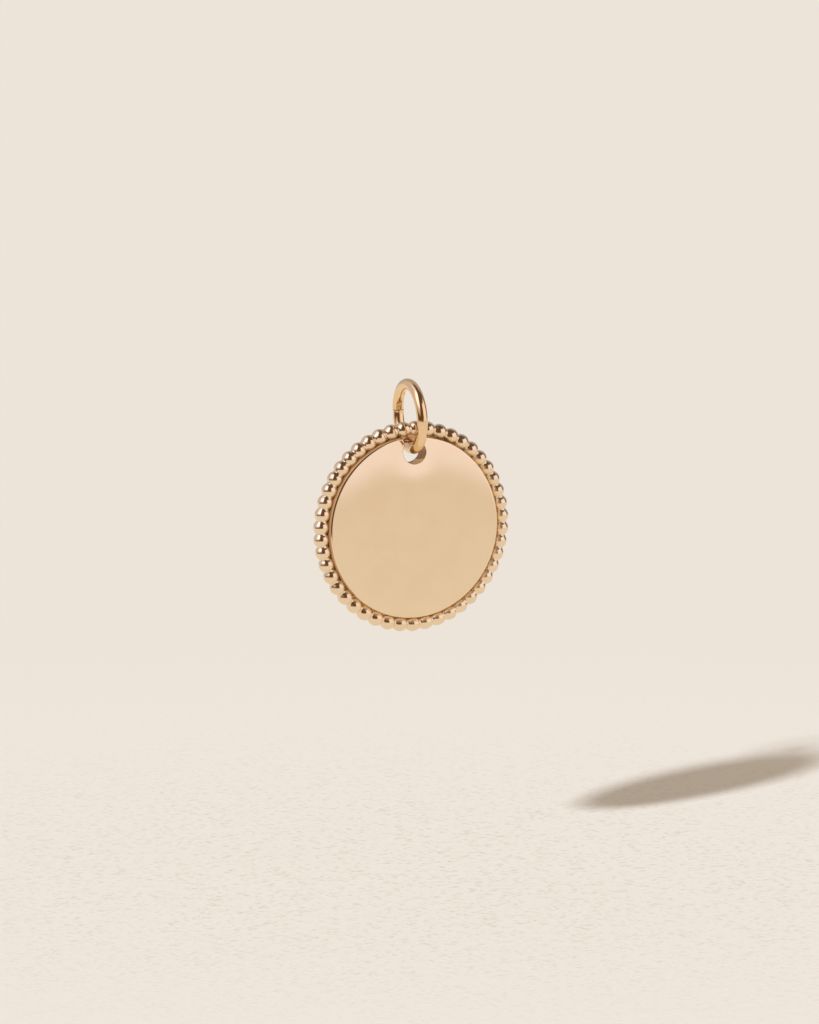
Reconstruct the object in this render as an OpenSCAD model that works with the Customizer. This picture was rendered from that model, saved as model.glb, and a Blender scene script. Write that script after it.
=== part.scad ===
// Round engraving medallion with a beaded rim, hung on a plain jump ring.
// Millimetres, +Z up, the engraving face towards -Y, the ring's axis along X.
// The origin is the inside top of the jump ring, where a chain rests.

/* [Engraving plate] */
// Thickness of the plate at its middle
plate_t = 1.38; // [1.2:0.02:1.6]
// Radius of the rounding round both edges of the plate
edge_r = 0.2; // [0.1:0.02:0.4]

/* [Beaded rim] */
// Diameter over the beads, the size that such a medallion is sold by
overall_d = 15; // [14.8:0.1:15.4]
// Diameter of one bead
bead_d = 1.1; // [1.04:0.02:1.2]
// Number of beads round the rim
bead_count = 47; // [45:1:49]
// Diameter of the neck between two beads
neck_d = 0.72; // [0.6:0.02:0.8]
// Depth by which each bead is soldered into the edge of the plate
bead_bite = 0.05; // [0.03:0.01:0.1]

/* [Hanging hole] */
// Diameter of the hole
hole_d = 1.86; // [1.7:0.02:2]
// Height of the hole's centre above the centre of the plate
hole_z = 5.35; // [5.2:0.05:5.45]
// Width of the notch where it leaves the hole
neck_w = 1.38; // [1.2:0.02:1.5]
// Height above the plate's centre at which the notch starts to flare
neck_z = 5.95; // [5.85:0.05:6.05]
// Width of the notch at the edge of the plate
mouth_w = 1.9; // [1.7:0.05:2.1]

/* [Hanging seat] */
// Diameter of the wire that bridges the notch under the beads
seat_d = 0.5; // [0.4:0.05:0.6]
// Height of its underside above the plate's centre
seat_z = 5.97; // [5.9:0.01:6]
// Play between the seat and the jump ring that it rests on
seat_play = 0.03; // [0.02:0.01:0.1]

/* [Jump ring] */
// Outer diameter of the ring
ring_d = 5.36; // [5.2:0.02:5.8]
// Diameter of its wire
wire_d = 0.78; // [0.7:0.02:0.84]
// Width of the saw cut where the ring is closed
cut_w = 0.04; // [0.02:0.01:0.1]
// Height of the cut round the back of the ring, in degrees above its centre
cut_angle = 6; // [0:1:45]

/* [Hidden] */
$fn = 64;
spare = 0.5;
gold = [0.87, 0.69, 0.44];

bead_r = bead_d / 2;
bead_circle_r = overall_d / 2 - bead_r;
bead_step = 360 / bead_count;
plate_r = bead_circle_r - bead_r + bead_bite;

wire_r = wire_d / 2;
ring_r = ring_d / 2 - wire_r;
ring_inner_r = ring_r - wire_r;
ring_centre_z = -ring_inner_r;
plate_centre_z = ring_centre_z - ring_inner_r + seat_play - seat_z;

// Half of the plate's cross-section, from its axis out to the rounded edge
module plate_section() {
    half_t = plate_t / 2;
    translate([0, -half_t])
        square([plate_r - edge_r, plate_t]);
    translate([0, -half_t + edge_r])
        square([plate_r, plate_t - 2 * edge_r]);
    for (side = [-1, 1])
        translate([plate_r - edge_r, side * (half_t - edge_r)])
            circle(r = edge_r);
}

module plate_blank() {
    rotate([90, 0, 0])
        rotate_extrude()
            plate_section();
}

// Outline of the hole and of the notch that opens it to the plate's edge
module hole_outline() {
    mouth_z = plate_r + spare;
    flare = (mouth_w - neck_w) / 2 / (plate_r - neck_z);
    mouth_half = neck_w / 2 + flare * (mouth_z - neck_z);
    polygon([
        [-neck_w / 2, hole_z],
        [neck_w / 2, hole_z],
        [neck_w / 2, neck_z],
        [mouth_half, mouth_z],
        [-mouth_half, mouth_z],
        [-neck_w / 2, neck_z],
    ]);
}

module hole_cut() {
    depth = plate_t + 2 * spare;
    rotate([90, 0, 0]) {
        translate([0, hole_z, -depth / 2])
            cylinder(d = hole_d, h = depth);
        translate([0, 0, -depth / 2])
            linear_extrude(height = depth)
                hole_outline();
    }
}

// Short wire across the notch, under the beads, that rests on the jump ring
module seat() {
    seat_w = neck_w + 2 * spare;
    seat_top = bead_circle_r - bead_r / 2;
    seat_axis_z = seat_z + seat_d / 2;
    translate([-seat_w / 2, 0, 0])
        rotate([90, 0, 90])
            linear_extrude(height = seat_w) {
                translate([0, seat_axis_z])
                    circle(d = seat_d);
                translate([-seat_d / 2, seat_axis_z])
                    square([seat_d, seat_top - seat_axis_z]);
            }
}

// Beads side by side on their core wire, with a neck between two of them at the top
module beaded_rim() {
    rotate([90, 0, 0])
        rotate_extrude()
            translate([bead_circle_r, 0])
                circle(d = neck_d);
    for (i = [0 : bead_count - 1])
        rotate([0, (i + 0.5) * bead_step, 0])
            translate([0, 0, bead_circle_r])
                sphere(r = bead_r);
}

module medallion() {
    color(gold)
        translate([0, 0, plate_centre_z]) {
            difference() {
                plate_blank();
                hole_cut();
            }
            seat();
            beaded_rim();
        }
}

module jump_ring() {
    cut_reach = wire_d + 2 * spare;
    color(gold)
        translate([0, 0, ring_centre_z])
            difference() {
                rotate([0, 90, 0])
                    rotate_extrude()
                        translate([ring_r, 0])
                            circle(r = wire_r);
                rotate([cut_angle, 0, 0])
                    translate([0, ring_r, 0])
                        cube([cut_reach, cut_reach, cut_w], center = true);
            }
}

medallion();
jump_ring();
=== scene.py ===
# %% [markdown]
# # An engravable pendant in pale gold
#
# The real pendant is a thick round blank for engraving. A wire of beads is soldered round its
# edge, and it hangs from a plain jump ring that goes through a hole near the top.
#
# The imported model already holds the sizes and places. This script keeps to its box, and adds what
# is too fine for the solids: the buffed roundness of the face and the hole, the slight unevenness
# of the beads and the ring, the solder, and the polish. Everything is in metres.

import bmesh
import bpy
import numpy as np
from mathutils import Euler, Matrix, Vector


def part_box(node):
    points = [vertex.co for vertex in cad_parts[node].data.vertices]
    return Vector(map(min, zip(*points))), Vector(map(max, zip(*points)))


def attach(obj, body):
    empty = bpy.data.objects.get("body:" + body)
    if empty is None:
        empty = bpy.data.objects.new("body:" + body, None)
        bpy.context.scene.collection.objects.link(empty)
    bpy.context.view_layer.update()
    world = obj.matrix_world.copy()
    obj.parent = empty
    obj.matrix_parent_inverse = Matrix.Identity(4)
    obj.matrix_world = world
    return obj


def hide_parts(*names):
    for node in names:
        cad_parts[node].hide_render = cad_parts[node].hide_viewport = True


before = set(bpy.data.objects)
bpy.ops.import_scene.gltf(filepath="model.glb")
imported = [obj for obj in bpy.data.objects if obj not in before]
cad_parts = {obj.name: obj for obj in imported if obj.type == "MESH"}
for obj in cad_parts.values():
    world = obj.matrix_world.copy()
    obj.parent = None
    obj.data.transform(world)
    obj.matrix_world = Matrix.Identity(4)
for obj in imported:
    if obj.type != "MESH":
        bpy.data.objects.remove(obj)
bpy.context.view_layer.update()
MM = 0.001

# %% [markdown]
# ## Where the pieces are
#
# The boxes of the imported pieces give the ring's centre and radius, the thickness of its wire, and
# the plate's thickness. A bead lies at the very bottom of the medallion, so the middle of the
# medallion is one rim radius above the lowest point of its box. The rim's radius itself is stated,
# because no bead lies exactly at the left or the right, where the box is a little narrower.

# %% Read the driving sizes from the frame
ring_low, ring_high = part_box("jump_ring")
medal_low, medal_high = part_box("medallion")

wire_radius = (ring_high.x - ring_low.x) / 2
ring_centre = (ring_low + ring_high) / 2
ring_radius = (ring_high.z - ring_low.z) / 2 - wire_radius

RIM_RADIUS = 7.5 * MM
BEAD_COUNT = 47
BEAD_RADIUS = 0.55 * MM
BEAD_BITE = 0.1 * MM
bead_circle = RIM_RADIUS - BEAD_RADIUS
medal_centre = Vector((0, 0, medal_low.z + RIM_RADIUS))
plate_radius = bead_circle - BEAD_RADIUS + BEAD_BITE
half_plate = (medal_high.y - medal_low.y) / 2
print("ring wire", round(2 * wire_radius / MM, 3), "mm, plate", round(2 * half_plate / MM, 3), "mm thick")

# %% [markdown]
# ## From numbers to a mesh
#
# Every piece below is a surface that two parameters run over: one goes along the piece, the other
# goes round it or across it. Numpy works out all the points at once as a grid. A grid only needs
# its neighbours joined into four-sided faces, and a seam or pole is closed by merging the points
# that fall on the same spot. A closed mesh has a volume, and a positive volume shows that its
# faces point outwards.

# %% Helpers that turn grids into one closed piece
MERGE = 0.00002 * MM


def grid_faces(rows, columns, first=0):
    """Faces of a grid: each joins a point, its neighbour across, and the two after them."""
    corner = first + np.arange(rows * columns).reshape(rows, columns)
    four = [corner[:-1, :-1], corner[1:, :-1], corner[1:, 1:], corner[:-1, 1:]]
    return np.stack(four, axis=-1).reshape(-1, 4)


def closed_piece(name, grids):
    """Joins grids of points into one mesh, merges what meets, and turns the faces outwards."""
    points = np.concatenate([grid.reshape(-1, 3) for grid in grids])
    starts = np.cumsum([0] + [grid.shape[0] * grid.shape[1] for grid in grids])
    faces = np.concatenate([grid_faces(*grid.shape[:2], first) for grid, first in zip(grids, starts)])
    mesh = bpy.data.meshes.new(name)
    mesh.from_pydata(points, [], faces)
    work = bmesh.new()
    work.from_mesh(mesh)
    bmesh.ops.remove_doubles(work, verts=work.verts, dist=MERGE)
    bmesh.ops.recalc_face_normals(work, faces=work.faces)
    volume = work.calc_volume(signed=True)
    if volume < 0:
        bmesh.ops.reverse_faces(work, faces=work.faces)
    open_edges = sum(not edge.is_manifold for edge in work.edges)
    work.to_mesh(mesh)
    work.free()
    mesh.shade_smooth()
    piece = bpy.data.objects.new(name, mesh)
    bpy.context.scene.collection.objects.link(piece)
    size = round(abs(volume) / MM**3, 2)
    print(name, len(mesh.polygons), "faces,", size, "mm3,", open_edges, "open edges")
    return piece


def fit(piece, body, material):
    """Gives a piece its polish as its first material slot, and the body that it moves with."""
    piece.data.materials.append(material)
    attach(piece, body)


# %% [markdown]
# ## Sums with sockets
#
# A finish is a little sum: so much roughness, plus a bit more where the polishing cloth dragged.
# Writing that sum with operators is easier to read than placing Math nodes one by one, so a small
# class stands for a socket, and adds the nodes when it is used in an expression.

# %% A socket that can be added and multiplied
# The Mix node has a set of sockets for each kind of value. These numbers pick the set for colours
MIX_FACTOR, MIX_FIRST, MIX_SECOND, MIX_RESULT = 0, 6, 7, 2


class Amount:
    """A socket's value. Used in a sum, it adds the Math node and gives back its result."""

    def __init__(self, bench, socket):
        self.bench = bench
        self.socket = socket

    def sum(self, operation, first, second):
        return self.bench.node("ShaderNodeMath", {"operation": operation}, {0: first, 1: second})

    def __add__(self, other):
        return self.sum("ADD", self, other)

    def __sub__(self, other):
        return self.sum("SUBTRACT", self, other)

    def __rsub__(self, other):
        return self.sum("SUBTRACT", other, self)

    def __mul__(self, other):
        return self.sum("MULTIPLY", self, other)

    __radd__ = __add__
    __rmul__ = __mul__


class Bench:
    """The nodes of one material or world. The method node adds and wires up any node, and each of
    the others adds one kind that is used often.
    """

    def __init__(self, owner):
        owner.use_nodes = True
        self.tree = owner.node_tree
        self.tree.nodes.clear()

    def node(self, kind, settings=None, inputs=None, output=0):
        made = self.tree.nodes.new(kind)
        for name, value in (settings or {}).items():
            setattr(made, name, value)
        for key, value in (inputs or {}).items():
            if isinstance(value, Amount):
                self.tree.links.new(value.socket, made.inputs[key])
            else:
                made.inputs[key].default_value = value
        return Amount(self, made.outputs[output]) if made.outputs else None

    def blend(self, factor, first, second):
        """A colour part of the way from the first to the second."""
        inputs = {MIX_FACTOR: factor, MIX_FIRST: first, MIX_SECOND: second}
        return self.node("ShaderNodeMix", {"data_type": "RGBA"}, inputs, output=MIX_RESULT)

    def step(self, value, none, full):
        """0 up to none and 1 from full on, with a soft change between. It falls if full is lower."""
        return self.node(
            "ShaderNodeMapRange",
            {"interpolation_type": "SMOOTHSTEP"},
            {"Value": value, "From Min": none, "From Max": full},
        )

    def along(self, vector, direction):
        """How far a vector reaches in a direction."""
        dot = {"operation": "DOT_PRODUCT"}
        return self.node("ShaderNodeVectorMath", dot, {0: vector, 1: direction}, output="Value")

    def length(self, vector):
        """How long a vector is."""
        return self.node("ShaderNodeVectorMath", {"operation": "LENGTH"}, {0: vector}, output="Value")

    def noise(self, place, scale, detail):
        """Soft noise from 0 to 1. Detail is how many finer layers are added to it."""
        return self.node("ShaderNodeTexNoise", None, {"Vector": place, "Scale": scale, "Detail": detail})

    def bump(self, height, strength, depth):
        """Normals that tilt as if the surface rose by the depth where the height is 1. Strength is
        how much of that tilt is kept.
        """
        relief = {"Height": height, "Strength": strength, "Distance": depth}
        return self.node("ShaderNodeBump", None, relief)


# %% [markdown]
# ## Pale gold
#
# Fourteen carat gold, solid or as a plating, is paler and pinker than pure gold. Polished metal has
# no colour of its own under the shine: what it shows is the room, tinted. So the colour goes into
# Base Color with Metallic at 1, and all the character is in the roughness. A buffed face carries
# very fine scratches and a faint haze where fingers and the cloth have been. The haze is a slow
# change of roughness. For the scratches a bump of a fraction of a micrometre is enough, because a
# mirror shows every tilt twice over. The ring's wire is a slightly redder gold than the plate.

# %% The gold, with its own scratches and haze
GOLD = (0.90, 0.718, 0.50, 1)
GOLD_WARM = (0.89, 0.70, 0.475, 1)
WIRE_GOLD = (0.915, 0.655, 0.375, 1)
WIRE_WARM = (0.90, 0.65, 0.385, 1)
# Rouge browns for the cut walls and the seat. They also serve as painted shade there and on the rim's
# upper left
ROUGE_AND_SHADE = (0.48, 0.285, 0.135, 1)
ROUGE_AND_SHADE_DARK = (0.38, 0.215, 0.095, 1)
# The brown of the painted shade in the beads' groove
GROOVE_SHADE_BROWN = (0.72, 0.45, 0.2, 1)
TONE_RANGE = (0.35, 0.65)
CLOUD_SCALE = 0.5 / MM
HAIR_SCALE = 1.0 / MM
HAIR_DETAIL, CLOUD_DETAIL = 2.0, 3.0
FINE_SCRATCH = 0.00004 * MM
# How much the groove's painted shade dulls the gold and takes away its metal
SHADE_DULLNESS = 0.2
SHADE_COVER = 0.5
# Each wipe of the cloth: a turn of the noise, and how far the noise is squeezed along X, Y and Z
FIRST_WIPE = ((0.0, 0.5, 0.0), (30.0, 8.0, 1.2))
SECOND_WIPE = ((0.0, -0.9, 0.3), (26.0, 9.0, 1.0))


def gold(name, roughness, haze, scratch, base=GOLD, tone=GOLD_WARM, bare=1.0, shade_mask=None):
    """Gold that wanders between two tones. Haze is how far its roughness wanders, scratch how deep
    its marks are, bare how much of it acts as metal, and the last argument says where painted
    shade darkens it.
    """
    material = bpy.data.materials.new(name)
    bench = Bench(material)
    place = bench.node("ShaderNodeTexCoord", output="Object")

    def marks(turn, stretch):
        """Noise squeezed into hairlines. It is squeezed least along Z, so they run up and down. The
        turn comes after the squeezing and gives each wipe lines of its own.
        """
        squeeze = {"Vector": place, "Rotation": turn, "Scale": stretch}
        return bench.noise(bench.node("ShaderNodeMapping", None, squeeze), HAIR_SCALE, HAIR_DETAIL)

    cloudy = bench.noise(place, CLOUD_SCALE, CLOUD_DETAIL)
    bump = bench.bump(marks(*FIRST_WIPE) + marks(*SECOND_WIPE), 1.0, scratch)
    colour = bench.blend(bench.step(cloudy, *TONE_RANGE), base, tone)
    dullness = (cloudy - 0.5) * haze + roughness
    # Painted shade: where the mask is 1 the colour turns brown, duller and less metal
    if shade_mask:
        painted_shade = shade_mask(bench, place)
        colour = bench.blend(painted_shade, colour, GROOVE_SHADE_BROWN)
        dullness = dullness + painted_shade * SHADE_DULLNESS
        bare = 1 - painted_shade * SHADE_COVER
    shader = bench.node(
        "ShaderNodeBsdfPrincipled",
        None,
        {"Base Color": colour, "Metallic": bare, "Roughness": dullness, "Normal": bump},
    )
    bench.node("ShaderNodeOutputMaterial", None, {"Surface": shader})
    return material


face_gold = gold("face_gold", roughness=0.1, haze=0.02, scratch=FINE_SCRATCH)
ring_gold = gold(
    "ring_gold", roughness=0.09, haze=0.03, scratch=FINE_SCRATCH, base=WIRE_GOLD, tone=WIRE_WARM
)

# %% [markdown]
# The beads are polished too. In the groove beside the plate their inner sides are painted brown,
# as painted shade of the groove. It is a function of the distance from the medallion's axis alone,
# so it runs evenly round the rim.

# %% Gold with painted shade in its groove
GROOVE_WIDTH = 0.42 * MM


def groove_shade_mask(bench, place):
    """1 at the plate's edge, falling to 0 one groove width outside it."""
    to_axis = {0: place, 1: (1, 0, 1), 2: (0, 0, -medal_centre.z)}
    offset = bench.node("ShaderNodeVectorMath", {"operation": "MULTIPLY_ADD"}, to_axis)
    return bench.step(bench.length(offset), plate_radius + GROOVE_WIDTH, plate_radius)


bead_gold = gold("bead_gold", roughness=0.15, haze=0.04, scratch=FINE_SCRATCH, shade_mask=groove_shade_mask)

# %% [markdown]
# ## The engraving plate
#
# The blank is stamped from sheet, drilled, and sawn open from the hole to the edge, where the cut
# flares like a funnel. Then it is buffed, and the soft wheel rounds whatever it reaches first: the
# face falls away a little towards the rim and towards the hole. The rim's edge gets the largest
# radius, the edge of the hole a smaller one. That roll-off is what makes the light slide over a
# flat plate.
#
# The outline is one closed line, so the face can be a ruled sheet. One side follows the hole, the
# other follows the rim, straight lines join them, and the first and the last of these lines are the
# two sides of the notch. A narrow rounded strip then runs round the whole outline and down the wall
# to the back face.

# %% Sizes of the hole and of the notch
HOLE_RADIUS = 0.85 * MM
HOLE_HEIGHT = 5.37 * MM
NECK_HALF = 0.69 * MM
NECK_HEIGHT = 5.95 * MM
MOUTH_HALF = 0.95 * MM
RIM_EDGE = 0.2 * MM
HOLE_EDGE = 0.07 * MM

hole_centre = np.array([0.0, HOLE_HEIGHT])
flare = np.arctan2(MOUTH_HALF - NECK_HALF, plate_radius - NECK_HEIGHT)
flare_way = np.array([np.sin(flare), np.cos(flare)])
flare_out = np.array([-np.cos(flare), np.sin(flare)])

# %% [markdown]
# The buffing is written as a height over the face. The crown falls with a high power of the
# distance from the middle, so the middle stays flat enough to engrave. Round the hole it falls
# off exponentially, as metal does under a soft wheel.

# %% Height of the buffed face
CROWN_DROP = 0.12 * MM
CROWN_POWER = 3.7
HOLE_DROP = 0.045 * MM
HOLE_REACH = 0.55 * MM


def face_height(x, z):
    """Half the plate's thickness, less the crown's fall to the rim and the fall to the hole."""
    up_the_notch = np.clip(z, HOLE_HEIGHT, None)
    from_hole = np.clip(np.hypot(x, z - up_the_notch) - HOLE_RADIUS, 0, None)
    crown = CROWN_DROP * (np.hypot(x, z) / plate_radius) ** CROWN_POWER
    return half_plate - crown - HOLE_DROP * np.exp(-from_hole / HOLE_REACH)


# %% [markdown]
# The face stops one edge radius inside the outline. Swinging that radius round the face's sharp
# corners gives the outline its round ones.

# %% The ruled face
def where_line_leaves(start, way, centre, radius):
    """The far point where a line crosses a circle, from the usual square-root formula."""
    offset = start - centre
    reach = offset @ way
    return start + way * (-reach + np.sqrt(reach**2 - offset @ offset + radius**2))


side_start = np.array([NECK_HALF, NECK_HEIGHT]) - HOLE_EDGE * flare_out
neck = where_line_leaves(side_start, flare_way, hole_centre, HOLE_RADIUS + HOLE_EDGE)
mouth = where_line_leaves(side_start, flare_way, np.zeros(2), plate_radius - RIM_EDGE)
neck_turn = np.arctan2(*(neck - hole_centre))
mouth_turn = np.arctan2(*mouth)


def clock(turn):
    """Unit directions in the face's plane, turning clockwise from straight up."""
    return np.stack([np.sin(turn), np.cos(turn)], axis=-1)


def crowd_ends(count, amount=0.9):
    """Numbers from 0 to 1 that crowd towards both ends, by taking a sine wave off a straight line."""
    t = np.linspace(0, 1, count)
    return t - amount * np.sin(2 * np.pi * t) / (2 * np.pi)


def ruled_face(u, v):
    """Straight lines from the hole's circle to the rim's circle: a + v (b - a)."""
    a = hole_centre + (HOLE_RADIUS + HOLE_EDGE) * clock(neck_turn + u * (2 * np.pi - 2 * neck_turn))
    b = (plate_radius - RIM_EDGE) * clock(mouth_turn + u * (2 * np.pi - 2 * mouth_turn))
    return a + v[..., None] * (b - a)


ALONG, ACROSS = 241, 65
u, v = np.meshgrid(np.linspace(0, 1, ALONG), crowd_ends(ACROSS), indexing="ij")
face_plan = ruled_face(u, v)

# %% [markdown]
# The strip needs the face's border in order, and the outward direction at each point of it. On the
# hole's arc that direction is inwards to the hole, on the notch it is square to the cut, and at a
# corner it swings from one to the other while the point stands still. The radius changes from the
# rim's to the hole's on the way round the notch's outer corners.

# %% The border, its outward directions, and the strip that rounds it
CORNER_STEPS = 9
EDGE_STEPS = 13
START_TILT = np.radians(5)


def swing(first, last):
    """Unit directions that turn evenly from one to another, the short way."""
    a, b = np.arctan2(*first), np.arctan2(*last)
    b = a + (b - a + np.pi) % (2 * np.pi) - np.pi
    return clock(np.linspace(a, b, CORNER_STEPS))


rim_turns = mouth_turn + u[:, 0] * (2 * np.pi - 2 * mouth_turn)
hole_turns = neck_turn + u[:, 0] * (2 * np.pi - 2 * neck_turn)
flare_mirror = flare_out * [-1, 1]
sections = [
    (face_plan[:, -1], clock(rim_turns), RIM_EDGE, RIM_EDGE),
    (face_plan[-1:, -1], swing(clock(rim_turns[-1]), flare_mirror), RIM_EDGE, HOLE_EDGE),
    (face_plan[-1, ::-1], flare_mirror, HOLE_EDGE, HOLE_EDGE),
    (face_plan[-1:, 0], swing(flare_mirror, -clock(hole_turns[-1])), HOLE_EDGE, HOLE_EDGE),
    (face_plan[::-1, 0], -clock(hole_turns[::-1]), HOLE_EDGE, HOLE_EDGE),
    (face_plan[:1, 0], swing(-clock(hole_turns[0]), flare_out), HOLE_EDGE, HOLE_EDGE),
    (face_plan[0], flare_out, HOLE_EDGE, HOLE_EDGE),
    (face_plan[:1, -1], swing(flare_out, clock(rim_turns[0])), HOLE_EDGE, RIM_EDGE),
]
pairs = [np.broadcast_arrays(points, ways) for points, ways, _, _ in sections]
border = np.concatenate([points for points, _ in pairs])
outward = np.concatenate([ways for _, ways in pairs])
edge = np.concatenate([np.linspace(a, b, len(p)) for (p, _), (_, _, a, b) in zip(pairs, sections)])


def lifted(plan, height):
    """Points of the face's plane, at a height towards the front, placed in the frame."""
    return np.stack([plan[..., 0], -height, plan[..., 1] + medal_centre.z], axis=-1)


def edge_strip():
    """A quarter round from the front face, the wall, and a quarter round to the back face."""
    tilt = np.linspace(START_TILT, np.pi / 2, EDGE_STEPS)[:, None]
    reach = edge * (np.sin(tilt) - np.sin(START_TILT)) / (1 - np.sin(START_TILT))
    fall = edge * (np.cos(START_TILT) - np.cos(tilt))
    plan = border + np.concatenate([reach, reach[::-1]])[..., None] * outward
    front = face_height(border[:, 0], border[:, 1]) - fall
    return lifted(plan, np.concatenate([front, -front[::-1]]))


face = face_height(face_plan[..., 0], face_plan[..., 1])
plate = closed_piece("engraving_plate", [lifted(face_plan, face), lifted(face_plan, -face), edge_strip()])
fit(plate, "medallion", face_gold)
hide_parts("medallion")

# %% [markdown]
# The polishing cloth never gets into the hole and the notch. Those walls keep the marks of the drill
# and the saw, and a brown that is partly a trace of polishing rouge and partly painted shade of these
# recesses. A wall is any face that is turned more than about 35 degrees away from straight forwards
# or backwards, so the faces' own normals pick it out. On the plate's rim only the half whose normals
# lean to the upper left gets this brown, as painted shade. The other half keeps the face's gold.

# %% Walls in brown rouge and painted shade
WALL_TILT = 0.82
# Rim faces that lean this way are painted brown as shade
SHADE_SIDE = (-0.71, 0, 0.71)
SAW_MARK = 0.0004 * MM
# Rough, half-metal rouge brown, also standing for painted shade in the hole, the notch and the rim's
# upper left
rouge_and_shade_gold = gold(
    "rouge_and_shade_gold", roughness=0.45, haze=0.2, scratch=SAW_MARK, base=ROUGE_AND_SHADE, tone=ROUGE_AND_SHADE_DARK, bare=0.4
)


def per_face(piece, quality):
    """A quality of every face, such as its normal or centre, as one row of three numbers each."""
    values = np.empty(len(piece.data.polygons) * 3, dtype=np.float32)
    piece.data.polygons.foreach_get(quality, values)
    return values.reshape(-1, 3)


def finish_where(piece, material, where):
    """Gives some faces of a piece a second finish."""
    piece.data.materials.append(material)
    piece.data.polygons.foreach_set("material_index", where.astype(np.int32))
    print(piece.name, "has", int(where.sum()), "faces in", material.name)


normals = per_face(plate, "normal")
from_middle = per_face(plate, "center") - np.array(medal_centre)
off_rim = np.hypot(from_middle[:, 0], from_middle[:, 2]) < plate_radius - RIM_EDGE
# Faces painted brown: the hole and notch walls (rouge and painted shade) and the rim's upper-left half
# (painted shade)
rouge_and_shade_faces = off_rim | (normals @ SHADE_SIDE > 0)
finish_where(plate, rouge_and_shade_gold, (np.abs(normals[:, 1]) < WALL_TILT) & rouge_and_shade_faces)

# %% [markdown]
# ## The beaded rim
#
# Beaded wire is made by rolling a round wire between grooved jaws, which squeeze it into a row of
# balls that touch through narrow necks. Here the whole row is one tube carried round the rim, and
# only its thickness changes. A plane through the medallion's axis cuts a ball in a circle. At an
# angle d from the ball's middle that circle is centred at R cos d, and Pythagoras gives its radius:
# the square root of r squared less (R sin d) squared. The points are spaced evenly over each ball,
# not along the rim, so the steep parts beside the necks stay round.
#
# The strip is bent round by hand, so it stretches a little here and bunches up a little there. Two
# slow waves round the rim move the beads by about a quarter of a bead at most, and the whole row
# starts a little off. Each wave's size and start are in degrees.

# %% One tube, squeezed into balls
NECK_RADIUS = 0.38 * MM
NECK_FILLET = 0.06 * MM
STEPS_PER_BEAD = 24
STEPS_ROUND_BEAD = 52
ROW_START = 0.63
ONCE_SIZE, ONCE_START = 1.13, 11
TWICE_SIZE, TWICE_START = 0.91, 25


def by_hand(turn):
    """The turn, moved by a wave that goes once round, one that goes twice round, and the start."""
    once = ONCE_SIZE * np.sin(turn + np.radians(ONCE_START))
    twice = TWICE_SIZE * np.sin(2 * turn - np.radians(TWICE_START))
    return turn + np.radians(twice - once - ROW_START)


def beaded_tube():
    """The circle of each section, for every bead and every step over it, carried round the rim."""
    bead_turn = 2 * np.pi / BEAD_COUNT
    steepest = np.arcsin(bead_circle * np.sin(bead_turn / 2) / BEAD_RADIUS)
    over = np.linspace(-steepest, steepest, STEPS_PER_BEAD + 1)[:-1]
    d = np.arcsin(BEAD_RADIUS * np.sin(over) / bead_circle)
    turn = ((np.arange(BEAD_COUNT) + 0.5) * bead_turn)[:, None] + d
    turn = np.append(turn.ravel(), turn[0, 0] + 2 * np.pi)
    d = np.append(np.tile(d, BEAD_COUNT), d[0])
    centre = bead_circle * np.cos(d)
    ball = np.sqrt(BEAD_RADIUS**2 - (bead_circle * np.sin(d)) ** 2)
    radius = (ball + NECK_RADIUS + np.hypot(ball - NECK_RADIUS, NECK_FILLET)) / 2
    round_it = np.linspace(0, 2 * np.pi, STEPS_ROUND_BEAD + 1)
    away = centre[:, None] + radius[:, None] * np.cos(round_it)
    height = radius[:, None] * np.sin(round_it)
    return lifted(clock(by_hand(turn))[:, None] * away[..., None], height)


rim = closed_piece("beaded_rim", [beaded_tube()])
fit(rim, "medallion", bead_gold)

# %% [markdown]
# ## The seat
#
# The cut through the plate would let the ring slip out but for the beads across its mouth. Under
# them a short bridge is soldered in, and the medallion hangs by it. Its section is a capsule on
# end, and solder has drawn it wider where it meets the sides of the notch.

# %% A short soldered bridge
# Solder's own darker tone, made darker still as painted shade of the notch and the groove
SOLDER_AND_SHADE = (0.78, 0.53, 0.31, 1)
SEAT_RADIUS = 0.25 * MM
SEAT_BOTTOM = 5.97 * MM
SEAT_TOP = 6.7 * MM
SEAT_END = 1.0 * MM
FILLET_START = 0.42 * MM
SOLDER_SPREAD = 0.2 * MM
SOLDER_SCRATCH = 0.0002 * MM
SEAT_STEPS = 41
SEAT_SIDES = 33


def seat_surface():
    """A capsule carried along X, growing with the square of the distance past the ring's wire."""
    along = np.linspace(-SEAT_END, SEAT_END, SEAT_STEPS)
    past = np.clip(np.abs(along) - FILLET_START, 0, None) / (SEAT_END - FILLET_START)
    radius = SEAT_RADIUS + SOLDER_SPREAD * past**2
    turn = np.linspace(0, 2 * np.pi, SEAT_SIDES)
    side = radius[:, None] * np.sin(turn)
    lower = SEAT_BOTTOM + SEAT_RADIUS
    upper = SEAT_TOP - SEAT_RADIUS
    height = np.where(np.cos(turn) > 0, upper, lower) + radius[:, None] * np.cos(turn)
    plan = np.stack([np.broadcast_to(along[:, None], side.shape), height], axis=-1)
    middle = lifted(plan, side)
    ends = [np.repeat(middle[[k]].mean(axis=1, keepdims=True), len(turn), axis=1) for k in (0, -1)]
    return np.concatenate([ends[0], middle, ends[1]])


seat = closed_piece("hanging_seat", [seat_surface()])
# Darker solder mixed with rouge brown, which also stands for painted shade in the notch
solder_and_shade_gold = gold(
    "solder_and_shade_gold", roughness=0.2, haze=0.05, scratch=SOLDER_SCRATCH, base=SOLDER_AND_SHADE, tone=ROUGE_AND_SHADE
)
fit(seat, "medallion", solder_and_shade_gold)

# %% [markdown]
# ## The solder seam
#
# Solder joins the row of beads to the plate, and fills the small gaps beside the necks. Without it
# the pale backdrop shows through them as bright dots, also from the front. A plain round thread is
# enough for it, because it lies deep in the groove.

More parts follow.
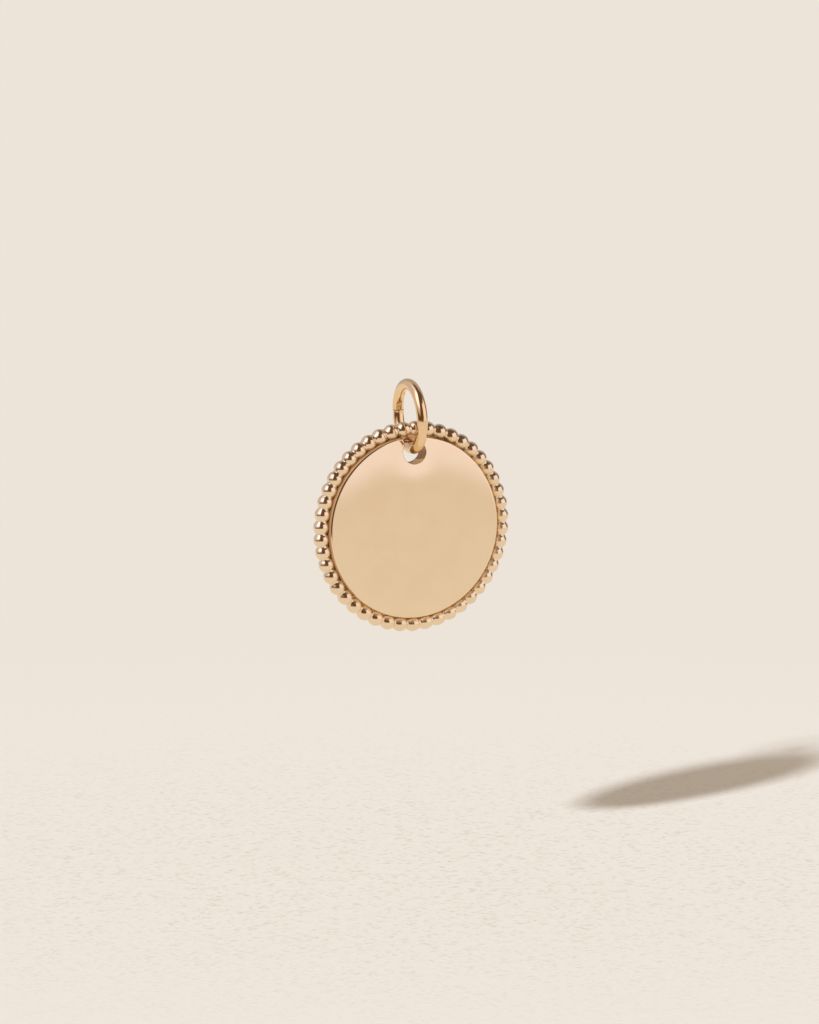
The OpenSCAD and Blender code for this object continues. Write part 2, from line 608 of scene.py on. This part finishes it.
# %% A thread of solder round the plate
SEAM_RADIUS = 0.1 * MM
SEAM_OFFSET = 0.04 * MM
SEAM_STEPS = 241
SEAM_SIDES = 17


def seam_surface():
    """A circle of the seam's radius, carried round the rim a little outside the plate's edge."""
    turn = np.linspace(0, 2 * np.pi, SEAM_STEPS)[:, None]
    round_it = np.linspace(0, 2 * np.pi, SEAM_SIDES)
    away = plate_radius + SEAM_OFFSET + SEAM_RADIUS * np.cos(round_it)
    height = np.broadcast_to(SEAM_RADIUS * np.sin(round_it), (len(turn), len(round_it)))
    return lifted(clock(turn) * away[:, None], height)


seam = closed_piece("solder_seam", [seam_surface()])
# The seam takes the same darker solder, here also painted shade of the groove
fit(seam, "medallion", solder_and_shade_gold)

# %% [markdown]
# ## The jump ring
#
# A jump ring is wound on a rod, sawn off and pushed shut, so it keeps a hairline where its ends
# meet, and the ends never line up quite perfectly. The wire is a circle carried round a circle,
# from one side of the cut to the other. Each end closes with a tiny radius, and one end is pushed
# sideways by a few hundredths of a millimetre. Nothing guides the ring in its hole, so it hangs
# two or three degrees askew and a little to one side.

# %% Wire carried round, with two closed ends
CUT_WIDTH = 0.04 * MM
CUT_HEIGHT = np.radians(6)
END_ROUND = 0.03 * MM
END_SHIFT = 0.03 * MM
END_REACH = np.radians(50)
ASKEW_LEAN = np.radians(-2.3)
ASKEW_TURN = np.radians(-2.2)
ASKEW_SHIFT = -0.07 * MM
# A flat end has one circle between its middle and its rounded edge, at this share of the radius
END_CIRCLE = 0.6
END_STEPS = 6
RING_STEPS = 241
WIRE_SIDES = 49


def ring_surface():
    """Centre plus (R + r cos b) in the ring's plane plus r sin b along its axis, for turns a and b."""
    half_cut = CUT_WIDTH / 2 / ring_radius
    round_off = np.linspace(0, np.pi / 2, END_STEPS)
    end_turn = np.concatenate([[0.0, 0.0], END_ROUND * (1 - np.cos(round_off)) / ring_radius])
    end_size = np.concatenate([[0.0, END_CIRCLE], 1 - END_ROUND * (1 - np.sin(round_off)) / wire_radius])
    first, last = CUT_HEIGHT + half_cut, CUT_HEIGHT - half_cut + 2 * np.pi
    middle = np.linspace(first + end_turn[-1], last - end_turn[-1], RING_STEPS)[1:-1]
    a = np.concatenate([first + end_turn, middle, last - end_turn[::-1]])[:, None]
    size = wire_radius * np.concatenate([end_size, np.ones(len(middle)), end_size[::-1]])[:, None]
    b = np.linspace(0, 2 * np.pi, WIRE_SIDES)
    near_end = np.clip(1 - (last - a) / END_REACH, 0, 1)
    across = size * np.sin(b) + END_SHIFT * near_end**2
    away = ring_radius + size * np.cos(b)
    askew = np.array(Euler((0, ASKEW_LEAN, ASKEW_TURN)).to_matrix())
    wire = np.stack([across, away * np.cos(a), away * np.sin(a)], axis=-1)
    return np.array(ring_centre) + [ASKEW_SHIFT, 0, 0] + wire @ askew.T


ring = closed_piece("jump_ring_wire", [ring_surface()])
fit(ring, "ring", ring_gold)
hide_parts("jump_ring")

# %% [markdown]
# ## The camera
#
# A long lens from the left and a little above, as jewellery is usually shown: it keeps the disc's
# shape honest. The medallion's centre sits just under the middle of the picture, and its scale is
# given in pixels for each millimetre.

# %% Place the camera
PICTURE = (819, 1024)
SCALE = 14.167
CENTRE_PIXEL = (411.05, 526.2)
AZIMUTH, ELEVATION = np.radians(-24.2), np.radians(8.5)
DISTANCE = 1000 * MM
NEAR_CLIP, FAR_CLIP = 10 * MM, 10000 * MM
SENSOR = 36.0


def from_camera_side(turn, rise):
    """A direction, given as a turn to the right of the camera's side and a rise above level."""
    azimuth = AZIMUTH + turn
    return Vector((np.sin(azimuth) * np.cos(rise), -np.cos(azimuth) * np.cos(rise), np.sin(rise)))


back = from_camera_side(0, ELEVATION)
right = Vector((np.cos(AZIMUTH), np.sin(AZIMUTH), 0))
up = back.cross(right)
shift_right = (CENTRE_PIXEL[0] - PICTURE[0] / 2) / SCALE * MM
shift_down = (CENTRE_PIXEL[1] - PICTURE[1] / 2) / SCALE * MM

camera_data = bpy.data.cameras.new("camera")
camera_data.sensor_width = SENSOR
camera_data.lens = SENSOR * DISTANCE / (PICTURE[1] / SCALE * MM)
camera_data.clip_start = NEAR_CLIP
camera_data.clip_end = FAR_CLIP
camera = bpy.data.objects.new("camera", camera_data)
camera.location = medal_centre - right * shift_right + up * shift_down + back * DISTANCE
camera.rotation_euler = (-back).to_track_quat("-Z", "Y").to_euler()
bpy.context.scene.collection.objects.link(camera)
bpy.context.scene.camera = camera
print("lens", round(camera_data.lens, 1), "mm at", round(DISTANCE / MM), "mm")

# %% [markdown]
# ## The floor
#
# A pale floor lies a little below the pendant and takes its shadow. Far out it fades into the same
# even tone as the backdrop, so there is no horizon from any side.

# %% A round pale floor
FLOOR_DROP = 25 * MM
FLOOR_RADIUS = 130 * MM
PALE = (0.845, 0.77, 0.695, 1)
FLOOR_PAINT = (0.872, 0.84, 0.792, 1)
GRAIN_DARK = (0.66, 0.62, 0.56, 1)
GRAIN_SCALE = 2.2 / MM
GRAIN_DETAIL = 2.0
GRAIN_BUMP = 0.22
GRAIN_DEPTH = 0.1 * MM
SPECKLE_RANGE = (0.5, 0.75)
SPECKLE_FADE = (90 * MM, 10 * MM)
FLOOR_FADE = (60 * MM, 125 * MM)
FLOOR_RINGS = 25
FLOOR_SIDES = 97
RING_CROWDING = 1.5


def floor_surface():
    """A flat disc: distance from the middle and turn about it, with closer rings at the middle."""
    away = FLOOR_RADIUS * np.linspace(0, 1, FLOOR_RINGS)[:, None] ** RING_CROWDING
    turn = np.linspace(0, 2 * np.pi, FLOOR_SIDES)
    height = np.full((FLOOR_RINGS, FLOOR_SIDES), medal_centre.z - FLOOR_DROP)
    return np.stack([away * np.cos(turn), away * np.sin(turn), height], axis=-1)


def floor_paint():
    """Matt pale plaster with a fine grain, which fades to the backdrop's even tone far out."""
    material = bpy.data.materials.new("pale_floor")
    bench = Bench(material)
    place = bench.node("ShaderNodeTexCoord", output="Object")
    away = bench.length(place)
    grain = bench.noise(place, GRAIN_SCALE, GRAIN_DETAIL)
    bump = bench.bump(grain, GRAIN_BUMP, GRAIN_DEPTH)
    speckle = bench.step(grain, *SPECKLE_RANGE) * bench.step(away, *SPECKLE_FADE)
    matt = bench.node(
        "ShaderNodeBsdfPrincipled",
        None,
        {
            "Base Color": bench.blend(speckle, FLOOR_PAINT, GRAIN_DARK),
            "Roughness": 0.9,
            "Specular IOR Level": 0.2,
            "Normal": bump,
        },
    )
    glow = bench.node("ShaderNodeEmission", None, {"Color": PALE, "Strength": 1.0})
    fade = bench.step(away, *FLOOR_FADE)
    both = bench.node("ShaderNodeMixShader", None, {0: fade, 1: matt, 2: glow})
    bench.node("ShaderNodeOutputMaterial", None, {"Surface": both})
    return material


floor_mesh = bpy.data.meshes.new("floor")
floor_points = floor_surface()
floor_mesh.from_pydata(floor_points.reshape(-1, 3), [], grid_faces(*floor_points.shape[:2]))
floor_mesh.materials.append(floor_paint())
floor = bpy.data.objects.new("floor", floor_mesh)
bpy.context.scene.collection.objects.link(floor)

# %% [markdown]
# ## The studio
#
# Gold shows what surrounds it, so the room matters as much as the metal. One clear lamp at the upper
# left gives the shadow on the floor. It is kept out of the metal, where a bare lamp leaves a hard
# dot on every bead.

# %% The lamp
LAMP_TURN, LAMP_RISE = np.radians(28.2), np.radians(28.5)
LAMP_SIZE = np.radians(3.4)
LAMP_POWER = 3.66
LAMP_COLOUR = (0.93, 0.983, 1.034)

lamp_data = bpy.data.lights.new("lamp", "SUN")
lamp_data.energy = LAMP_POWER
lamp_data.angle = LAMP_SIZE
lamp_data.color = LAMP_COLOUR
lamp = bpy.data.objects.new("lamp", lamp_data)
lamp.rotation_euler = from_camera_side(-LAMP_TURN, LAMP_RISE).to_track_quat("Z", "Y").to_euler()
lamp.visible_glossy = False
bpy.context.scene.collection.objects.link(lamp)

# %% [markdown]
# A jeweller's photographer builds a room round the piece: a big pale sheet on one side, a window
# above it, a white card on the other side, and brown cloth round the camera, because polished metal
# needs something dark to look like metal. Here that room is painted by direction alone in the
# world's shader. It stays where it is when the pendant is seen from another side. Directions are
# told as a turn from the camera's side and a rise above level, both in degrees. A stretch has a
# start, an end and the width of its soft sides. An edge has the place where a thing is gone and
# the place where it is whole. Only reflections show this room. The camera sees the even tone of the
# backdrop, and matt surfaces get an even fill of light.

# %% The room, painted by direction
CEILING = (0.12, 0.085, 0.055, 1)
CLOTH = (0.14, 0.07, 0.03, 1)
BEHIND = (0.47, 0.43, 0.42, 1)
SHEET = (0.68, 0.62, 0.64, 1)
SKIRT = (0.68, 0.58, 0.47, 1)
WINDOW = (1.5, 1.5, 1.9, 1)
CARD = (1.07, 0.97, 0.98, 1)
CARD_FOOT = (1.01, 0.94, 0.99, 1)
FILL = (0.491, 0.414, 0.333, 1)
DEGREE = np.degrees(1)

BEHIND_SIDE, BEHIND_TOP = (110, 140), (72, 52)
SHEET_TURN, SHEET_TOP = (-145, -30, 30), (70, 50)
WINDOW_TURN, WINDOW_RISE = (-78, -26, 20), (20, 74, 16)
GLOW_TURN, GLOW_RISE, GLOW_SHARE = (-125, -60, 30), (48, 78, 14), 0.5
LOW_CLOTH_TURN, LOW_CLOTH_TOP = (-95, 26, 12), (8, -2)
TALL_CLOTH_TURN, TALL_CLOTH_TOP = (-18, 34, 16), (66, 46)
FLOOR_LINE, FLOOR_LINE_BY_CLOTH = (-3, -5.6), (-9, -13)
SKIRT_RISE, SKIRT_SHARE = (-8.0, -5.4, 1.2), 0.35
CARD_TURN, CARD_BOTTOM, CARD_TOP = (34, 104, 10), (-6.9, -4.4), (46, 36)
CARD_ABOVE_FOOT = (2, 12)


def paint_room():
    """A dark ceiling and a grey back wall, then what stands before them, one thing over another."""
    world = bpy.data.worlds.new("studio")
    bench = Bench(world)
    way = bench.node("ShaderNodeTexCoord", output="Generated")
    ahead = bench.along(way, from_camera_side(0, 0))
    aside = bench.along(way, from_camera_side(np.pi / 2, 0))
    turn = bench.node("ShaderNodeMath", {"operation": "ARCTAN2"}, {0: aside, 1: ahead}) * DEGREE
    upwards = bench.along(way, (0, 0, 1))
    rise = bench.node("ShaderNodeMath", {"operation": "ARCSINE"}, {0: upwards}) * DEGREE

    def between(angle, low, high, soft):
        """1 from low to high, with soft sides that are centred on both."""
        rising = bench.step(angle, low - soft / 2, low + soft / 2)
        return rising * (1 - bench.step(angle, high - soft / 2, high + soft / 2))

    from_front = bench.node("ShaderNodeMath", {"operation": "ABSOLUTE"}, {0: turn})
    behind = bench.step(from_front, *BEHIND_SIDE) * bench.step(rise, *BEHIND_TOP)
    room = bench.blend(behind, CEILING, BEHIND)
    room = bench.blend(between(turn, *SHEET_TURN) * bench.step(rise, *SHEET_TOP), room, SHEET)
    room = bench.blend(between(turn, *WINDOW_TURN) * between(rise, *WINDOW_RISE), room, WINDOW)
    glow = between(turn, *GLOW_TURN) * between(rise, *GLOW_RISE) * GLOW_SHARE
    room = bench.blend(glow, room, WINDOW)
    by_cloth = between(turn, *LOW_CLOTH_TURN)
    room = bench.blend(by_cloth * bench.step(rise, *LOW_CLOTH_TOP), room, CLOTH)
    room = bench.blend(between(turn, *TALL_CLOTH_TURN) * bench.step(rise, *TALL_CLOTH_TOP), room, CLOTH)
    room = bench.blend(bench.step(rise, *FLOOR_LINE) * (1 - by_cloth), room, PALE)
    room = bench.blend(bench.step(rise, *FLOOR_LINE_BY_CLOTH) * by_cloth, room, PALE)
    room = bench.blend(between(rise, *SKIRT_RISE) * (1 - by_cloth) * SKIRT_SHARE, room, SKIRT)
    card = between(turn, *CARD_TURN) * bench.step(rise, *CARD_BOTTOM) * bench.step(rise, *CARD_TOP)
    room = bench.blend(card, room, bench.blend(bench.step(rise, *CARD_ABOVE_FOOT), CARD_FOOT, CARD))
    lit = bench.blend(bench.node("ShaderNodeLightPath", output="Is Diffuse Ray"), room, FILL)
    shown = bench.blend(bench.node("ShaderNodeLightPath", output="Is Camera Ray"), lit, PALE)
    light = bench.node("ShaderNodeBackground", None, {"Color": shown, "Strength": 1.0})
    bench.node("ShaderNodeOutputWorld", None, {"Surface": light})
    world.cycles.sampling_method = "NONE"
    return world


bpy.context.scene.world = paint_room()
bpy.context.scene.view_settings.view_transform = "Standard"
bpy.context.scene.view_settings.look = "None"
